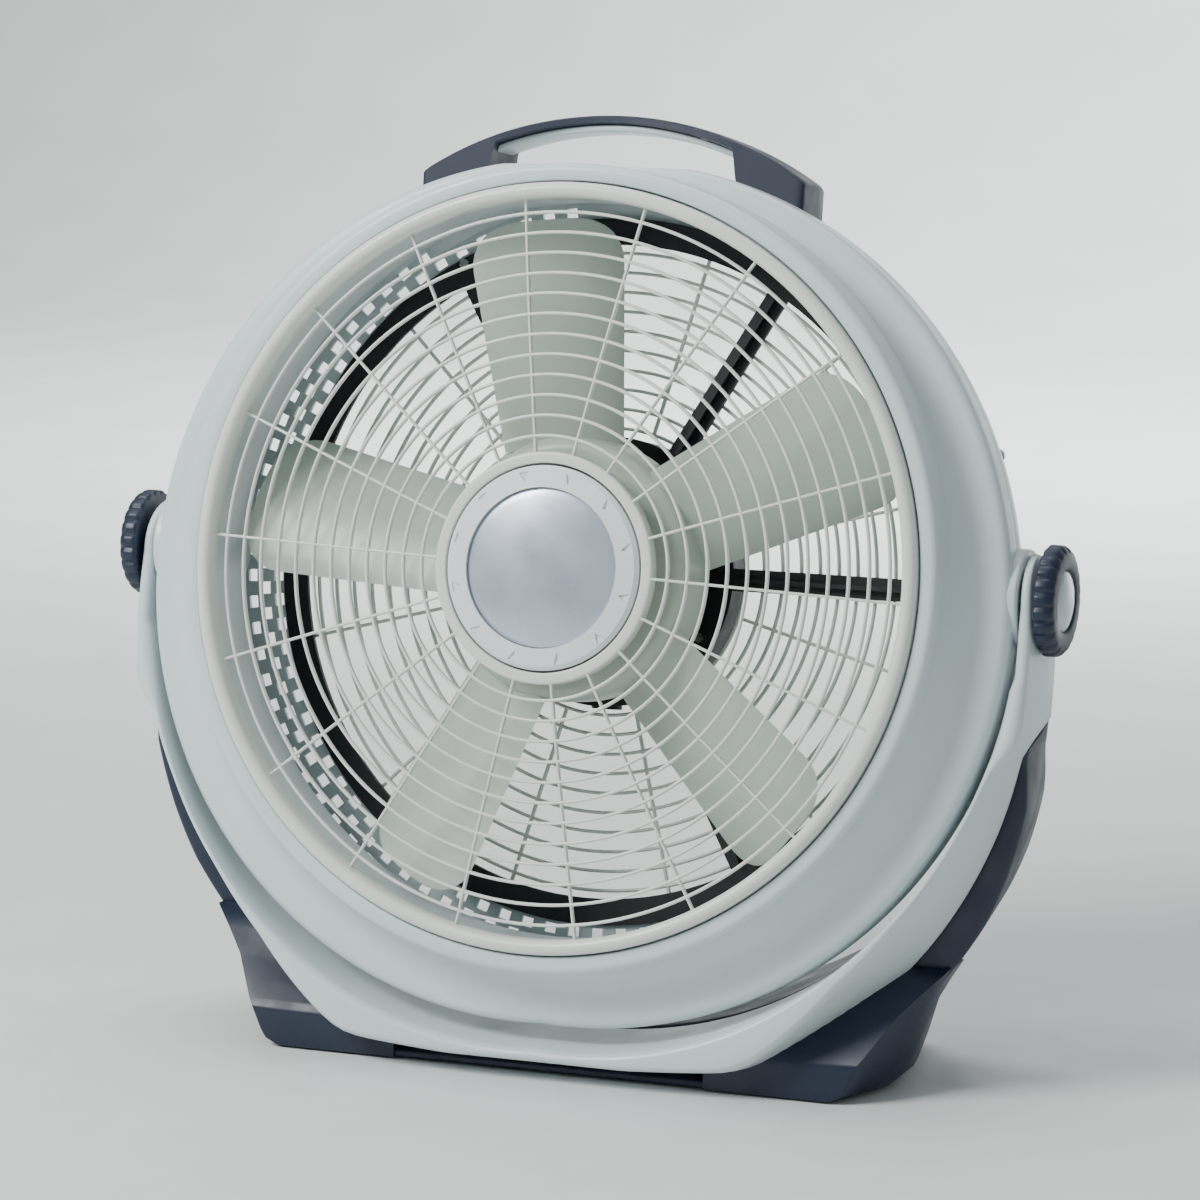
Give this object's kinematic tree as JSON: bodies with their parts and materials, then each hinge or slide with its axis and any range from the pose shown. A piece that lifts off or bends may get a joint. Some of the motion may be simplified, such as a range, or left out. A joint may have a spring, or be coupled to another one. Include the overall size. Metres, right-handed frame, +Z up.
{
  "type": "floor air circulator fan",
  "caption": "Round drum-shaped floor fan that tilts between the arms of a U-shaped cradle, with wire-style grille, strap handle and side locking knobs.",
  "frame": {"origin": "on the floor, midway between the cradle arms, straight below the tilt axis", "axes": "+Z up, the fan blows towards -Y, +X to the right when looking along +Y at its front"},
  "size_m": [0.5802, 0.1921, 0.5448],
  "materials": {
    "light_shell": "satin, light cool gray",
    "navy_plastic": "satin, blue-black",
    "grille_plastic": "satin, pale warm gray",
    "blade_plastic": "satin, pale gray-green",
    "black_plastic": "matte black",
    "silver_trim": "silver-blue lacquer",
    "white_trim": "satin",
    "steel": "zinc-plated",
    "motor_case": "cast",
    "laminations": "varnished stack",
    "copper": "enamelled wire",
    "bronze": "sintered",
    "rubber": "matte"
  },
  "bodies": {
    "base": {"cradle_front": "light_shell", "cradle_rear": "navy_plastic", "cradle_screws": "steel", "foot_pads": "rubber"},
    "head": {"front_housing": "light_shell", "rear_housing": "light_shell", "front_grille": "grille_plastic", "badge_ring": "white_trim", "badge_disc": "silver_trim", "rear_grille": "grille_plastic", "motor_mount": "black_plastic", "rear_cover": "black_plastic", "motor_front_bell": "motor_case", "motor_rear_bell": "motor_case", "motor_stator": "laminations", "motor_windings": "copper", "motor_bearings": "bronze", "capacitor": "silver_trim", "speed_switch": "black_plastic", "cord_gland": "black_plastic", "handle": "navy_plastic", "handle_liner": "light_shell", "handle_screws": "steel", "housing_screws": "steel", "grille_screws": "steel", "mount_screws": "steel", "motor_screws": "steel", "cover_screws": "steel", "pivot_inserts": "bronze", "pivot_washers": "rubber"},
    "rotor": {"motor_rotor_core": "laminations", "motor_shaft": "steel", "impeller": "blade_plastic", "spinner_nut": "navy_plastic"},
    "speed_dial": {"speed_knob": "navy_plastic"},
    "left_clamp": {"left_knob": "navy_plastic", "left_knob_cap": "silver_trim", "left_knob_stud": "steel"},
    "right_clamp": {"right_knob": "navy_plastic", "right_knob_cap": "silver_trim", "right_knob_stud": "steel"}
  },
  "joints": [
    {"name": "head_tilt", "type": "hinge", "parent": "base", "child": "head", "pos_m": [0, 0, 0.285], "axis": [-1, 0, 0], "range_deg": [-20, 80]},
    {"name": "fan_spin", "type": "hinge", "parent": "head", "child": "rotor", "pos_m": [0, 0, 0.285], "axis": [0, -0.9848, 0.1736], "continuous": true},
    {"name": "speed_select", "type": "hinge", "parent": "head", "child": "speed_dial", "pos_m": [0, 0.00521, 0.31454], "axis": [0, 0.9848, -0.1736], "range_deg": [0, 135]},
    {"name": "left_knob_turn", "type": "hinge", "parent": "head", "child": "left_clamp", "pos_m": [-0.27, 0, 0.285], "axis": [-1, 0, 0], "range_deg": [-180, 180]},
    {"name": "right_knob_turn", "type": "hinge", "parent": "head", "child": "right_clamp", "pos_m": [0.27, 0, 0.285], "axis": [1, 0, 0], "range_deg": [-180, 180]}
  ]
}
